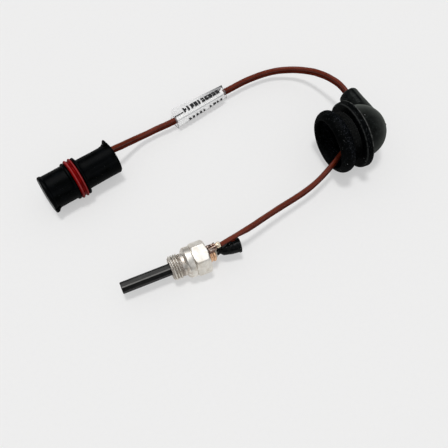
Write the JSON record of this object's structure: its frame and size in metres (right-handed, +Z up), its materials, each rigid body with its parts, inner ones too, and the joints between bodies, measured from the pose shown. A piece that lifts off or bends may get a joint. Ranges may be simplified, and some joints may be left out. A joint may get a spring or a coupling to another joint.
{
  "type": "flame sensor probe",
  "caption": "Screw-in ceramic flame sensor pin with hexagon plug on a brown two-wire lead, with a black elbow grommet, a marker sleeve and a round sealed connector.",
  "frame": {"origin": "centre of the bounding box in plan, on the surface the object lies on", "axes": "+X along the plug from the pin's tip to the rear of its hexagon, +Z up, away from the surface"},
  "size_m": [0.14, 0.0826, 0.0285],
  "materials": {
    "nickel_plated_steel": "satin",
    "dark_ceramic": "matte",
    "braze_ring": "satin",
    "pale_insulator": "matte",
    "bright_nickel": "polished",
    "copper_alloy": "satin",
    "copper_strands": "satin",
    "boot_rubber": "satin",
    "tinned_brass": "satin",
    "brown_insulation": "satin",
    "dark_brown_insulation": "satin",
    "grommet_rubber": "matte",
    "clear_sleeve": "clear gloss",
    "paper_strip": "matte",
    "black_nylon": "satin",
    "carrier_plastic": "matte",
    "red_silicone": "satin",
    "bung_rubber": "matte"
  },
  "bodies": {
    "probe": {"plug_body": "nickel_plated_steel", "ceramic_rod": "dark_ceramic", "rod_seal": "braze_ring", "terminal_bush": "pale_insulator", "centre_terminal": "bright_nickel", "earth_band": "copper_alloy", "earth_crimp": "bright_nickel", "core_earth_front": "copper_strands", "splice_boot": "boot_rubber", "splice_ferrule": "tinned_brass", "core_live_front": "copper_strands", "wire_earth_probe": "brown_insulation", "wire_live_probe": "dark_brown_insulation"},
    "lower_lead": {"wire_earth_lower": "brown_insulation", "wire_live_lower": "dark_brown_insulation"},
    "elbow_lead": {"wire_earth_elbow": "brown_insulation", "wire_live_elbow": "dark_brown_insulation"},
    "grommet": {"grommet": "grommet_rubber"},
    "loop_lead": {"wire_earth_loop": "brown_insulation", "wire_live_loop": "dark_brown_insulation"},
    "marker_lead": {"wire_earth_marker_run": "brown_insulation", "wire_live_marker_run": "dark_brown_insulation"},
    "marker": {"marker_sleeve": "clear_sleeve", "marker_strip": "paper_strip"},
    "connector": {"connector_housing": "black_nylon", "contact_carrier": "carrier_plastic", "contact_earth": "tinned_brass", "contact_live": "tinned_brass", "core_earth_rear": "copper_strands", "core_live_rear": "copper_strands", "seal_ring": "red_silicone", "rear_bung": "bung_rubber", "wire_earth_connector": "brown_insulation", "wire_live_connector": "dark_brown_insulation"}
  },
  "joints": [
    {"name": "probe_flex", "type": "hinge", "parent": "probe", "child": "lower_lead", "pos_m": [-0.00013, -0.03122, 0.00967], "axis": [0, 0, 1], "range_deg": [-25, 20]},
    {"name": "lower_flex", "type": "hinge", "parent": "lower_lead", "child": "elbow_lead", "pos_m": [0.03177, -0.02278, 0.00771], "axis": [0, 0, -1], "range_deg": [-12, 25]},
    {"name": "grommet_slide", "type": "slide", "parent": "elbow_lead", "child": "grommet", "axis": [-0.0941, 0.9956, 0], "range_m": [-0.0012, 0]},
    {"name": "tube_flex", "type": "hinge", "parent": "elbow_lead", "child": "loop_lead", "pos_m": [0.06332, 0.01327, 0.01382], "axis": [0, 0, 1], "range_deg": [-25, 10]},
    {"name": "loop_flex", "type": "hinge", "parent": "loop_lead", "child": "marker_lead", "pos_m": [0.04682, 0.0384, 0.00507], "axis": [0, 0, -1], "range_deg": [-10, 25]},
    {"name": "marker_slide", "type": "slide", "parent": "marker_lead", "child": "marker", "axis": [-0.9744, -0.225, 0], "range_m": [-0.008, 0.008]},
    {"name": "connector_flex", "type": "hinge", "parent": "marker_lead", "child": "connector", "pos_m": [-0.02742, 0.02688, 0.00664], "axis": [0, 0, 1], "range_deg": [-25, 25]}
  ]
}
